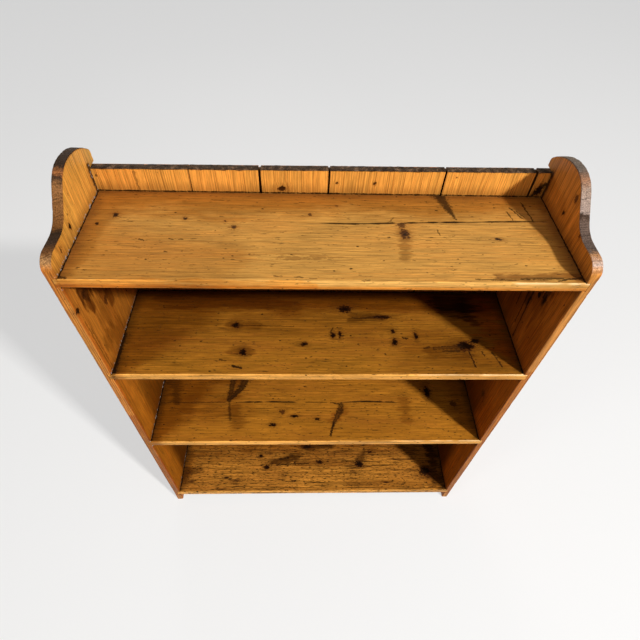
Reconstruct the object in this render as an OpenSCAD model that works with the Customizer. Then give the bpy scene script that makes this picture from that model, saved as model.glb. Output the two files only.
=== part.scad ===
// Open-front pine bookcase: two scrolled side boards, four shelves housed in them, and a
// back of tongued and grooved upright planks, all held with cut nails. X runs across the
// front, Y from front to back and Z up. The origin is on the floor at the middle of the base.

/* [Case] */
// Overall width, over both side boards
case_w = 940; // [800:1:1100]
// Depth of the side boards, front edge to back edge
case_d = 275; // [265:1:320]
// Thickness of each side board
side_t = 19; // [17:1:24]
// Radius worn on the front corners of the side boards
side_round = 3; // [1:0.5:5]

/* [Shelves] */
// Height of the bottom shelf's upper face above the floor
bottom_shelf_z = 64; // [45:1:120]
// Rise from the bottom shelf to the lower shelf, upper face to upper face
lower_rise = 390; // [250:1:420]
// Rise from the lower shelf to the upper shelf
upper_rise = 337; // [220:1:400]
// Rise from the upper shelf to the top shelf
top_rise = 293; // [200:1:350]
// Thickness of each shelf
shelf_t = 21; // [18:1:26]
// Depth of the housings that hold the shelf ends
housing = 9; // [6:1:12]
// Radius of the upper edge of a shelf's nosing
nose_top_r = 4; // [2:0.5:12]
// Radius of the lower edge of a shelf's nosing
nose_bottom_r = 3; // [2:0.5:6]

/* [Scroll on the side boards] */
// Height of the shoulder land above the top shelf
shoulder_h = 39.5; // [34:0.5:45]
// Radius of the front shoulder
shoulder_r = 30; // [20:1:32]
// Radius of the hollow behind the shoulder
hollow_r = 60; // [40:1:65]
// Slope of the flank between the hollow and the crest, in degrees
flank_angle = 45; // [40:1:50]
// Height of the crest above the top shelf
crest_h = 111; // [105:1:130]
// Radius of the crest in front of its peak
crest_front_r = 68; // [60:1:72]
// Radius of the crest behind its peak
crest_back_r = 130; // [120:1:140]
// Distance of the peak from the back edge
crest_back = 91; // [85:1:95]
// Radius of the corner where the crest runs into the back edge
corner_r = 14; // [8:1:18]

/* [Back] */
// Thickness of the back planks
plank_t = 18; // [14:1:20]
// Length of the tongue on a plank's left edge
tongue_l = 7; // [5:0.5:9]
// Thickness of the tongue
tongue_t = 5.5; // [4:0.5:6]
// How far the planks stand in from the back edges of the side boards
back_inset = 8; // [2:1:8]
// Width of the rebate that the outer planks lap into
rebate_w = 9; // [6:1:12]
// Height of the back above the top shelf at its left end
back_rise_left = 50; // [40:1:58]
// Height of the back above the top shelf at its right end
back_rise_right = 57; // [40:1:58]
// Play between the outer planks and the walls of their rebates
rebate_play = 1; // [0.5:0.5:2]
// Play round a tongue in its groove
tongue_play = 0.4; // [0.2:0.1:0.6]

/* [Nails] */
// Length of the nails through the side boards
side_nail_l = 50; // [40:1:60]
// Length of the nails through the back planks
back_nail_l = 40; // [35:1:42]
// Length of a nail's head along its widest side
nail_head = 6; // [5:0.5:7]
// Height of a nail's head
nail_head_h = 1.6; // [1:0.1:2]
// Width of the shank under the head
nail_shank = 3.4; // [2.5:0.1:4]
// Width of the blunt tip
nail_tip = 1.8; // [1:0.1:2.4]
// Thickness of the sheet that the nails are cut from
nail_gauge = 2.4; // [2:0.1:3]

/* [Hidden] */

side_colour = [0.72, 0.41, 0.16];
shelf_colour = [0.76, 0.49, 0.20];
plank_colour = [0.83, 0.52, 0.22];
nail_colour = [0.24, 0.20, 0.18];

front_y = -case_d / 2;
back_y = case_d / 2;
inner_w = case_w - 2 * side_t;
lower_shelf_z = bottom_shelf_z + lower_rise;
upper_shelf_z = lower_shelf_z + upper_rise;
top_shelf_z = upper_shelf_z + top_rise;
shelf_tops = [top_shelf_z, upper_shelf_z, lower_shelf_z, bottom_shelf_z];

plank_back_y = back_y - back_inset;
plank_front_y = plank_back_y - plank_t;
plank_mid_y = plank_back_y - plank_t / 2;
shelf_d = plank_front_y - front_y;
plank_foot_z = bottom_shelf_z - shelf_t;

// Where the planks meet, as shares of the inner width, and how far each joint has opened
joint_shares = [0.207, 0.359, 0.511, 0.767, 0.969];
joint_gaps = [0.8, 4, 2.8, 2.6, 4];
plank_count = len(joint_shares) + 1;

// Nails across a board's depth: distances from the front edge
side_nail_ys = [32, 118, 204];
back_nail_edge = 26;
narrow_plank = 90;

steps_per_arc = 12;
nose_steps = 6;
spare = 1;

function arc(centre, r, from, to, steps) =
    [for (i = [0 : steps]) let (a = from + (to - from) * i / steps) centre + r * [cos(a), sin(a)]];

// The upper edge of a side board, from the back edge forwards, as [distance from the front, height]
function scroll_edge() =
    let (
        land_z = top_shelf_z + shoulder_h,
        peak = [case_d - crest_back, top_shelf_z + crest_h],
        front_centre = peak - [0, crest_front_r],
        back_centre = peak - [0, crest_back_r],
        corner_y = case_d - corner_r,
        corner_reach = corner_y - back_centre[0],
        corner_drop = sqrt(pow(crest_back_r - corner_r, 2) - pow(corner_reach, 2)),
        corner_centre = [corner_y, back_centre[1] + corner_drop],
        corner_angle = atan2(corner_centre[1] - back_centre[1], corner_reach),
        flank_top = front_centre + crest_front_r * [-sin(flank_angle), cos(flank_angle)],
        flank_foot_z = land_z + hollow_r * (1 - cos(flank_angle)),
        flank_foot_y = flank_top[0] - (flank_top[1] - flank_foot_z) / tan(flank_angle),
        hollow_centre = [flank_foot_y - hollow_r * sin(flank_angle), land_z + hollow_r],
        shoulder_centre = [shoulder_r, land_z - shoulder_r]
    )
    concat(
        arc(corner_centre, corner_r, 0, corner_angle, 4),
        arc(back_centre, crest_back_r, corner_angle + 3, 87, steps_per_arc),
        arc(front_centre, crest_front_r, 90, 90 + flank_angle, steps_per_arc),
        arc(hollow_centre, hollow_r, 270 + flank_angle, 270, steps_per_arc),
        arc(shoulder_centre, shoulder_r, 90, 180, steps_per_arc)
    );

back_half = inner_w / 2 + rebate_w - rebate_play;
function joint_x(j) = inner_w * (joint_shares[j] - 0.5);
function plank_left(i) = i == 0 ? -back_half : joint_x(i - 1) + joint_gaps[i - 1] / 2;
function plank_right(i) = i == plank_count - 1 ? back_half : joint_x(i) - joint_gaps[i] / 2;
// Height of the top of the back at a place across the width: it was sawn a little out of level
function back_top(x) =
    top_shelf_z + back_rise_left + (back_rise_right - back_rise_left) * (x + inner_w / 2) / inner_w;
function nail_xs(i) =
    plank_right(i) - plank_left(i) < narrow_plank
        ? [(plank_left(i) + plank_right(i)) / 2]
        : [plank_left(i) + back_nail_edge, plank_right(i) - back_nail_edge];

// A nail cut from sheet, driven along +X with the top of its head at x = 0
module cut_nail(length) {
    translate([0, 0, -nail_gauge / 2])
        linear_extrude(nail_gauge)
            polygon([
                [0, -nail_head / 2], [nail_head_h, -nail_head / 2], [nail_head_h, -nail_shank / 2],
                [length, -nail_tip / 2], [length, nail_tip / 2],
                [nail_head_h, nail_shank / 2], [nail_head_h, nail_head / 2], [0, nail_head / 2]
            ]);
}

// The nails that hold one shelf, three through each side board
module shelf_nail_set(shelf_top) {
    for (hand = [0, 1])
        mirror([hand, 0, 0])
            for (y = side_nail_ys)
                translate([-case_w / 2, front_y + y, shelf_top - shelf_t / 2])
                    cut_nail(side_nail_l);
}

// The nails that hold one plank to the back edges of the shelves
module plank_nail_set(i) {
    for (x = nail_xs(i), shelf_top = shelf_tops)
        translate([x, plank_back_y, shelf_top - shelf_t / 2])
            rotate([0, 0, -90])
                rotate([90, 0, 0])
                    cut_nail(back_nail_l);
}

// A shelf's section, as [distance from the front, height above its underside]
module shelf_section() {
    polygon(concat(
        [[shelf_d, 0], [shelf_d, shelf_t]],
        arc([nose_top_r, shelf_t - nose_top_r], nose_top_r, 90, 180, nose_steps),
        arc([nose_bottom_r, nose_bottom_r], nose_bottom_r, 180, 270, nose_steps)
    ));
}

module shelf_blank(shelf_top) {
    length = inner_w + 2 * housing;
    translate([-length / 2, front_y, shelf_top - shelf_t])
        rotate([90, 0, 90])
            linear_extrude(length)
                shelf_section();
}

module shelf(shelf_top) {
    color(shelf_colour)
        difference() {
            shelf_blank(shelf_top);
            shelf_nail_set(shelf_top);
            for (i = [0 : plank_count - 1])
                plank_nail_set(i);
        }
}

// The scrolled outline, given its thickness along X
module side_outline() {
    rotate([90, 0, 90])
        linear_extrude(side_t)
            polygon(concat([[0, 0], [case_d, 0]], scroll_edge()));
}

// The plan section that rounds the two front corners of a side board over its whole height
module side_plan() {
    linear_extrude(top_shelf_z + crest_h + spare)
        polygon(concat(
            [[side_t, case_d + spare], [0, case_d + spare]],
            arc([side_round, side_round], side_round, 180, 270, nose_steps),
            arc([side_t - side_round, side_round], side_round, 270, 360, nose_steps)
        ));
}

// A left side board: scrolled top, a housing for each shelf and a stopped rebate for the back
module left_side_blank() {
    difference() {
        translate([-case_w / 2, front_y, 0])
            intersection() {
                side_outline();
                side_plan();
            }
        for (shelf_top = shelf_tops)
            translate([-inner_w / 2 - housing, front_y - spare, shelf_top - shelf_t])
                cube([housing + spare, shelf_d + spare, shelf_t]);
    }
}

// The rebate follows the sloping top of the back, so each side has its own
module rebate(top_z) {
    translate([-inner_w / 2 - rebate_w, plank_front_y, plank_foot_z])
        cube([rebate_w + spare, back_inset + plank_t + spare, top_z - plank_foot_z]);
}

module left_side() {
    color(side_colour)
        difference() {
            left_side_blank();
            rebate(back_top(-inner_w / 2));
            for (shelf_top = shelf_tops)
                shelf_nail_set(shelf_top);
        }
}

module right_side() {
    color(side_colour)
        difference() {
            mirror([1, 0, 0]) {
                difference() {
                    left_side_blank();
                    rebate(back_top(inner_w / 2));
                }
            }
            for (shelf_top = shelf_tops)
                shelf_nail_set(shelf_top);
        }
}

// A plank seen from the front: its top follows the sloping top of the back
module plank_elevation(left, right) {
    translate([0, plank_back_y, 0])
        rotate([90, 0, 0])
            linear_extrude(plank_t)
                polygon([
                    [left, plank_foot_z], [right, plank_foot_z],
                    [right, back_top(right)], [left, back_top(left)]
                ]);
}

// The groove that takes the next plank's tongue, given at the plank's right edge
module plank_groove(right) {
    depth = tongue_l + tongue_play;
    width = tongue_t + 2 * tongue_play;
    translate([right - depth, plank_mid_y - width / 2, plank_foot_z - spare])
        cube([depth + spare, width, top_shelf_z - plank_foot_z + 3 * crest_h]);
}

// The tongue on a plank's left edge, cut off level with the plank
module plank_tongue(left) {
    intersection() {
        plank_elevation(left - tongue_l, left + spare);
        translate([left - tongue_l, plank_mid_y - tongue_t / 2, plank_foot_z])
            cube([tongue_l + spare, tongue_t, top_shelf_z - plank_foot_z + 3 * crest_h]);
    }
}

// A tongued and grooved plank; the two outer edges are plain and lap into the side boards
module back_plank(i) {
    left = plank_left(i);
    right = plank_right(i);
    color(plank_colour)
        difference() {
            union() {
                plank_elevation(left, right);
                if (i > 0)
                    plank_tongue(left);
            }
            if (i < plank_count - 1)
                plank_groove(right);
            plank_nail_set(i);
        }
}

module shelf_nails(shelf_top) {
    color(nail_colour)
        shelf_nail_set(shelf_top);
}

module back_nails(i) {
    color(nail_colour)
        plank_nail_set(i);
}

left_side();
right_side();
shelf(top_shelf_z);  // top_shelf
shelf(upper_shelf_z);  // upper_shelf
shelf(lower_shelf_z);  // lower_shelf
shelf(bottom_shelf_z);  // bottom_shelf
back_plank(0);  // back_plank_1
back_plank(1);  // back_plank_2
back_plank(2);  // back_plank_3
back_plank(3);  // back_plank_4
back_plank(4);  // back_plank_5
back_plank(5);  // back_plank_6
shelf_nails(top_shelf_z);  // top_shelf_nails
shelf_nails(upper_shelf_z);  // upper_shelf_nails
shelf_nails(lower_shelf_z);  // lower_shelf_nails
shelf_nails(bottom_shelf_z);  // bottom_shelf_nails
back_nails(0);  // back_nails_1
back_nails(1);  // back_nails_2
back_nails(2);  // back_nails_3
back_nails(3);  // back_nails_4
back_nails(4);  // back_nails_5
back_nails(5);  // back_nails_6
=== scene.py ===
"""Open-front bookcase in antique pine: hand-planed boards, worn arrises, cut nails and wax.

Every board has its own measures in millimetres: along the grain, across it and through its
thickness. The shapes and the wood patterns are both worked out in those measures.
"""
import math
from functools import partial

import bmesh
import bpy
import numpy as np
from mathutils import Matrix, Vector


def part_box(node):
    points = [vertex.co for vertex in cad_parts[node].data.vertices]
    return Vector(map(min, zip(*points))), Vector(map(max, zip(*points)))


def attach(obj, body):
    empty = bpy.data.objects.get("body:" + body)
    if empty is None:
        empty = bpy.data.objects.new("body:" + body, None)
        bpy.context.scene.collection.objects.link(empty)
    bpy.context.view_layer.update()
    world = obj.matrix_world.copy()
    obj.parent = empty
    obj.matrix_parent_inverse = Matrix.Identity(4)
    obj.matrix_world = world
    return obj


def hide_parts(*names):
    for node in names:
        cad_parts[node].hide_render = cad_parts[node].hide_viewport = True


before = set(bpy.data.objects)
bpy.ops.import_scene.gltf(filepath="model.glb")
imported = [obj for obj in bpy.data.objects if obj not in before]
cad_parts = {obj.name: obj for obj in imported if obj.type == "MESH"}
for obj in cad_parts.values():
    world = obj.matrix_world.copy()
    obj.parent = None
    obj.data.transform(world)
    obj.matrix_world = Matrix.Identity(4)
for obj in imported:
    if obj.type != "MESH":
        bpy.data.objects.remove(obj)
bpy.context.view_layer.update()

MM = 0.001

# Sizes, read from the frame
LEFT_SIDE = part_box("left_side")
RIGHT_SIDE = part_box("right_side")
FRONT_Y = LEFT_SIDE[0].y
INNER_X = RIGHT_SIDE[0].x
INNER = INNER_X / MM
SIDE_THICK = (RIGHT_SIDE[1].x - RIGHT_SIDE[0].x) / MM
SIDE_DEPTH = (LEFT_SIDE[1].y - FRONT_Y) / MM
CASE_HEIGHT = LEFT_SIDE[1].z / MM

SHELVES = ("top_shelf", "upper_shelf", "lower_shelf", "bottom_shelf")
SHELF_TOPS = {name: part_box(name)[1].z / MM for name in SHELVES}
SHELF_THICK = (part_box("top_shelf")[1].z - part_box("top_shelf")[0].z) / MM
SHELF_DEPTH = (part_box("top_shelf")[1].y - FRONT_Y) / MM
SHELF_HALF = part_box("top_shelf")[1].x / MM
HOUSING = SHELF_HALF - INNER
TOP = SHELF_TOPS["top_shelf"]

PLANKS = tuple(f"back_plank_{i}" for i in range(1, 7))
PLANK_FRONT_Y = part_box("back_plank_1")[0].y
PLANK_THICK = (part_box("back_plank_1")[1].y - PLANK_FRONT_Y) / MM
PLANK_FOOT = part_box("back_plank_1")[0].z / MM

# Sizes in millimetres that the frame's boxes don't show
TONGUE = 7.0
TONGUE_THICK = 5.5
TONGUE_PLAY = 0.4
NAIL_DEPTHS = (32.0, 118.0, 204.0)
NAIL_FROM_EDGE = 26.0
NAIL_HEIGHTS = tuple(top - SHELF_THICK / 2 for top in SHELF_TOPS.values())
FIT = 0.15               # what a joint stands open all round
SPLIT = 0.006            # half the gap between two grid lines that make a sharp step
NEAR_FACE = 0.01         # grid points this close to a board's face are on it
SHARP_ANGLE = 38         # edges sharper than this many degrees are shaded as edges


def from_hex(code):
    """An sRGB hex colour as linear red, green, blue and alpha"""
    channels = [int(code[i:i + 2], 16) / 255 for i in (1, 3, 5)]
    return tuple(c / 12.92 if c <= 0.04045 else ((c + 0.055) / 1.055) ** 2.4 for c in channels) + (1.0,)


def add(tree, kind, *inputs, named=None, **settings):
    """Adds a node with its settings, which may also come paired with its kind.

    Inputs, in order or by name, are values, nodes or sockets.
    """
    if isinstance(kind, tuple):
        kind, settings = kind
    made = tree.nodes.new(kind)
    for key, value in settings.items():
        setattr(made, key, value)
    for key, value in [*enumerate(inputs), *(named or {}).items()]:
        if isinstance(value, bpy.types.Node):
            value = value.outputs[0]
        if isinstance(value, bpy.types.NodeSocket):
            tree.links.new(value, made.inputs[key])
        else:
            made.inputs[key].default_value = value
    return made


def show(name, data):
    """A new object for a mesh, lamp or camera, put in the scene"""
    made = bpy.data.objects.new(name, data)
    bpy.context.collection.objects.link(made)
    return made


# Boards and their measures
class Board:
    """How a board lies: for each of its measures, the frame's axis, its direction and its start"""

    def __init__(self, name, along, across, through):
        self.name = name
        self.ways = (along, across, through)

    def place(self, along, across, through):
        points = np.zeros((len(along), 3))
        for measure, (axis, direction, start) in zip((along, across, through), self.ways):
            points[:, axis] = start + direction * measure * MM
        return points


BOARDS = {
    "left_side": Board("left_side", (2, 1, 0.0), (1, 1, FRONT_Y), (0, -1, -INNER_X)),
    "right_side": Board("right_side", (2, 1, 0.0), (1, 1, FRONT_Y), (0, 1, INNER_X)),
}
for name in SHELVES:
    BOARDS[name] = Board(name, (0, 1, 0.0), (1, 1, FRONT_Y), (2, 1, (SHELF_TOPS[name] - SHELF_THICK) * MM))
for name in PLANKS:
    BOARDS[name] = Board(name, (2, 1, 0.0), (0, 1, 0.0), (1, 1, PLANK_FRONT_Y))


# Shaping the boards
def smooth_noise(seed, a, b, size_a, size_b):
    """Values from -1 to 1 that change smoothly over patches of the given size"""
    rows, columns, shift = 61, 67, 500.0
    table = np.random.default_rng(seed).uniform(-1, 1, (rows, columns))
    ga, gb = np.asarray(a) / size_a + shift, np.asarray(b) / size_b + shift
    ia, ib = np.floor(ga).astype(int), np.floor(gb).astype(int)
    fa, fb = ga - ia, gb - ib
    fa, fb = fa * fa * (3 - 2 * fa), fb * fb * (3 - 2 * fb)
    corner = [[table[(ia + i) % rows, (ib + j) % columns] for j in (0, 1)] for i in (0, 1)]
    low = corner[0][0] * (1 - fa) + corner[1][0] * fa
    high = corner[0][1] * (1 - fa) + corner[1][1] * fa
    return low * (1 - fb) + high * fb


def along_noise(seed, along, size):
    """Smooth noise that changes only along the board"""
    return smooth_noise(seed, along, 0 * along, size, 1)


def patches(seed, a, b, size_a, size_b, level, strength):
    """Scattered patches: what stands above a level of the smooth noise"""
    return np.clip(smooth_noise(seed, a, b, size_a, size_b) - level, 0, 1) * strength


def ramp(value, low, high):
    """0 at low and below, 1 at high and above, smooth between"""
    t = np.clip((value - low) / (high - low), 0, 1)
    return t * t * (3 - 2 * t)


def fall(value, low, high):
    """1 at low and below, 0 at high and above, smooth between"""
    return 1 - ramp(value, low, high)


def grid_lines(start, end, step, marks=(), start_round=2.0, end_round=2.0):
    """Places of the grid lines along one measure: closer on the rounded arrises and at the marks"""
    arcs = [1 - math.tan(math.radians(angle)) for angle in (45, 34, 22, 11, 0)]
    kept = [start + start_round * a for a in arcs] + [end - end_round * a for a in arcs]
    kept += [m for m in marks if start < m < end]
    spread = np.linspace(start, end, max(2, round((end - start) / step)) + 1)
    clear = [s for s in spread if start + start_round < s < end - end_round
             and min(abs(s - k) for k in kept) > 0.45 * step]
    return np.array(sorted(set(np.round(kept + clear, 4))))


def lattice(along, across, through):
    """The grid points over a board's six faces, and the quads that join them"""
    sizes = (len(along), len(across), len(through))
    quads = []
    for fixed in range(3):
        a, b = (fixed + 1) % 3, (fixed + 2) % 3
        ia, ib = (part.ravel() for part in np.meshgrid(
            np.arange(sizes[a] - 1), np.arange(sizes[b] - 1), indexing="ij"))
        for end in (0, sizes[fixed] - 1):
            turn = ((0, 0), (1, 0), (1, 1), (0, 1)) if end else ((0, 0), (0, 1), (1, 1), (1, 0))
            corners = []
            for da, db in turn:
                point = [None, None, None]
                point[fixed], point[a], point[b] = np.full(len(ia), end), ia + da, ib + db
                corners.append((point[0] * sizes[1] + point[1]) * sizes[2] + point[2])
            quads.append(np.stack(corners, axis=1))
    quads = np.concatenate(quads)
    used, faces = np.unique(quads, return_inverse=True)
    k, j, i = used % sizes[2], used // sizes[2] % sizes[1], used // (sizes[1] * sizes[2])
    return along[i], across[j], through[k], faces.reshape(quads.shape)


def ease(a, b, a_span, b_span, radius):
    """Rounds a section's corners: points outside the corner arcs are drawn in to them"""
    core_a = np.clip(a, a_span[0] + radius, a_span[1] - radius)
    core_b = np.clip(b, b_span[0] + radius, b_span[1] - radius)
    off_a, off_b = a - core_a, b - core_b
    reach = np.hypot(off_a, off_b)
    pull = np.where(reach > radius, radius / np.maximum(reach, 1e-9), 1.0)
    return core_a + off_a * pull, core_b + off_b * pull


def make_board(name, along, across, through, faces, end_grain, wear, chips=0.0):
    """A closed mesh from a board's points, with what its material reads off its surface"""
    points = BOARDS[name].place(along, across, through)
    p = points[faces]
    middle = points.mean(0)
    a, b, c, d = (p[:, i] - middle for i in range(4))
    volume = (np.einsum("ij,ij->i", a, np.cross(b, c)) + np.einsum("ij,ij->i", a, np.cross(c, d))).sum()
    if volume < 0:
        faces = faces[:, ::-1]
    mesh = bpy.data.meshes.new(name + "_worn")
    mesh.from_pydata(points.tolist(), [], faces.tolist())
    surface = mesh.attributes.new("surface", "FLOAT_VECTOR", "POINT")
    surface.data.foreach_set("vector", np.stack([end_grain, wear, chips + 0 * wear], 1).ravel())
    merged = bmesh.new()
    merged.from_mesh(mesh)
    bmesh.ops.remove_doubles(merged, verts=merged.verts, dist=0.002 * MM)
    bmesh.ops.dissolve_degenerate(merged, edges=merged.edges, dist=0.0001 * MM)
    merged.to_mesh(mesh)
    merged.free()
    mesh.polygons.foreach_set("use_smooth", np.ones(len(mesh.polygons), bool))
    mesh.set_sharp_from_angle(angle=math.radians(SHARP_ANGLE))
    return show(name + "_worn", mesh)


# The shelves
NOSE_TOP, NOSE_BOTTOM, BACK_ARRIS = 3.0, 3.0, 1.0
CRACK_DEPTH = 2.6
CRACK_OPENS, CRACK_CLOSES = 90, 60       # lengths over which a crack opens and closes

# Cracks that have opened in the shelves, as (along, across) from end to end
CRACKS = {
    "top_shelf": [((-66, 157), (49, 155), (205, 162), (343, 167), (458, 171))],
    "lower_shelf": [((-262, 123), (-120, 124), (-30, 122)), ((30, 121), (150, 125), (262, 121))],
}

# Where along each nosing the scuffed arris begins, where it is fully pale, and how pale
SCUFFS = {
    "top_shelf": (290, 360, 1.0),
    "upper_shelf": (100, 380, 1.0),
    "lower_shelf": (60, 380, 0.55),
    "bottom_shelf": (0, 300, 0.25),
}


def crack_line(along, path):
    """Where a crack runs across the board, and how far it has opened, at each place along it"""
    where = np.interp(along, [p[0] for p in path], [p[1] for p in path])
    begin, end = path[0][0], path[-1][0]
    return where, ramp(along, begin, begin + CRACK_OPENS) * fall(along, end - CRACK_CLOSES, end)


def make_shelf(name, seed, wear_depth):
    """A shelf: rounded nosing, worn hollow along the front, nicked arris and open cracks"""
    ends = SHELF_HALF - 0.5
    thick = (FIT, SHELF_THICK - FIT)
    deep = SHELF_DEPTH - FIT
    cracks = CRACKS.get(name, [])
    rest = cracks[0][len(cracks[0]) // 2][1] if cracks else None     # the grid's straight line for a crack
    marks = [rest + d for d in (-4, -1.5, -0.7, 0, 0.7, 1.5, 4)] if cracks else []
    near_joint = [side * (INNER + d) for side in (-1, 1) for d in (-5, -2.5, -1, 0)]
    u, v, w, faces = lattice(
        grid_lines(-ends, ends, 2.8, near_joint, 0.6, 0.6),
        grid_lines(0, deep, 4.2, marks, NOSE_TOP, BACK_ARRIS),
        grid_lines(*thick, 3, (), NOSE_BOTTOM, NOSE_TOP))
    flat_v, flat_w = v.copy(), w.copy()
    rubbed = along_noise(seed, u, 90) + 0.5 * along_noise(seed + 1, u, 23)
    nicked = patches(seed + 2, u, w, 7, 5, 0.55, 2.2)
    nose = np.where(w > SHELF_THICK / 2, NOSE_TOP, NOSE_BOTTOM)
    v, w = ease(v, w, (0, deep), thick, np.where(v < deep / 2, nose, BACK_ARRIS))
    # The nosing is drawn back a little where hands and books have rubbed it
    chipped = nicked * ramp(flat_w, 8, 18) * ramp(u, -120, 120)
    drawn_back = 0.4 + 0.25 * rubbed + 0.6 * nicked * ramp(flat_w, 2, 8) + 0.5 * chipped
    v = v + fall(flat_v, 1, 16) * drawn_back
    # The upper face dips and rises as it was planed, and is worn lower along the front
    on_top = flat_w >= thick[1] - NEAR_FACE
    waves = 0.22 * smooth_noise(seed + 3, u, flat_v, 140, 55)
    waves = waves + 0.12 * smooth_noise(seed + 4, u, flat_v, 31, 17)
    hollow = wear_depth * fall(np.abs(flat_v - 22), 6, 60) * (0.6 + 0.4 * along_noise(seed + 5, u, 120))
    inner = fall(np.abs(u), INNER - 14, INNER - 2)
    drop = (0.35 - waves + hollow) * inner + 0.3 * (1 - inner)
    pocks = patches(seed + 6, u, flat_v, 8, 7, 0.72, 3.0)
    w = w - np.where(on_top, drop + pocks * inner, 0) * ramp(flat_v, 0, 6)
    on_bottom = flat_w <= thick[0] + NEAR_FACE
    w = w + np.where(on_bottom, 0.15 + 0.12 * smooth_noise(seed + 7, u, flat_v, 90, 40), 0)
    cracked = 0 * u
    for path in cracks:
        where, opening = crack_line(u, path)
        beside = np.abs(flat_v - rest)
        v = v + (where - rest) * fall(beside, 0, 70) * (opening > 0)
        ragged = 0.65 + 0.35 * along_noise(seed + 8, u, 14)
        w = w - np.where(on_top, CRACK_DEPTH * fall(beside, 0.2, 1.3) * opening * ragged, 0)
        cracked = np.maximum(cracked, fall(beside, 0.5, 2.8) * opening * ragged * on_top)
    wear = fall(flat_v + 0.8 * rubbed, 0.6, 3.6)
    # Pale scuffed wood: in the chips, and along the arris towards the right
    begins, ends_at, strength = SCUFFS[name]
    bare = strength * (0.75 + 0.5 * along_noise(seed + 9, u, 16))
    bare = bare * ramp(u, begins, ends_at) * ramp(flat_w, thick[1] - 5, thick[1] - 2)
    scuffed = np.maximum(0.3 * chipped, bare)
    return make_board(name, u, v, w, faces, 0 * u, wear, (flat_v < 2.2) * scuffed - cracked)


# The scrolled side boards
SHOULDER_LAND, SHOULDER_R = 39.5, 30.0
HOLLOW_R, FLANK_ANGLE = 60.0, 45.0
CREST, CREST_FRONT_R, CREST_BACK_R = 111.0, 68.0, 130.0
CREST_FROM_BACK, CORNER_R = 91.0, 14.0


def arc(centre, radius, start, end, steps=24):
    """Points along an arc, between two angles in degrees"""
    angles = np.radians(np.linspace(start, end, steps + 1))
    return [(centre[0] + radius * math.cos(a), centre[1] + radius * math.sin(a)) for a in angles]


def scroll_curve():
    """The scrolled upper edge from front to back, as [across, along] places"""
    land, turn = TOP + SHOULDER_LAND, math.radians(FLANK_ANGLE)
    peak = SIDE_DEPTH - CREST_FROM_BACK
    front_centre = (peak, TOP + CREST - CREST_FRONT_R)
    back_centre = (peak, TOP + CREST - CREST_BACK_R)
    corner_across = SIDE_DEPTH - CORNER_R
    rise = math.sqrt((CREST_BACK_R - CORNER_R) ** 2 - (corner_across - peak) ** 2)
    corner_centre = (corner_across, back_centre[1] + rise)
    corner_angle = math.degrees(math.atan2(rise, corner_across - peak))
    flank_top = (front_centre[0] - CREST_FRONT_R * math.sin(turn),
                 front_centre[1] + CREST_FRONT_R * math.cos(turn))
    foot = land + HOLLOW_R * (1 - math.cos(turn))
    foot_across = flank_top[0] - (flank_top[1] - foot) / math.tan(turn)
    hollow_centre = (foot_across - HOLLOW_R * math.sin(turn), land + HOLLOW_R)
    curve = arc((SHOULDER_R, land - SHOULDER_R), SHOULDER_R, 180, 90)
    curve += arc(hollow_centre, HOLLOW_R, 270, 270 + FLANK_ANGLE)
    curve += arc(front_centre, CREST_FRONT_R, 90 + FLANK_ANGLE, 90)
    curve += arc(back_centre, CREST_BACK_R, 88, corner_angle + 2)
    curve += arc(corner_centre, CORNER_R, corner_angle, 0)
    return np.array(curve)


SCROLL = scroll_curve()
SCROLL_START = TOP + 2.0     # below this height the board keeps its straight grid
REBATE_CLEAR = 20.0          # how far before the rebate that height starts to climb to the rebate's top


def side_grid(housings, rebate_top):
    """The grid of a side board, with lines where its housings, rebate and scroll begin and end"""
    edges = [edge for pair in housings for edge in pair] + [rebate_top, PLANK_FOOT]
    up = [edge + d for edge in edges for d in (-SPLIT, SPLIT)]
    up += [top + d for _, top in housings for d in (1.2, 3)]
    up += [low - d for low, _ in housings for d in (1.2, 3)]
    up += list(np.linspace(SCROLL_START, CASE_HEIGHT - 4, 36))
    back = [SHOULDER_R * (1 - math.cos(math.radians(a))) for a in range(6, 91, 6)]
    back += [SIDE_DEPTH - CORNER_R * (1 - math.cos(math.radians(a))) for a in range(9, 91, 9)]
    back += [SHELF_DEPTH - SPLIT, SHELF_DEPTH + SPLIT]
    return lattice(
        grid_lines(0, CASE_HEIGHT, 4.2, up, 1.5, 2.0),
        grid_lines(0, SIDE_DEPTH, 3.6, back, 0.05, 0.05),
        grid_lines(0, SIDE_THICK, 3, (HOUSING,), 3.0, 3.0))


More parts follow.
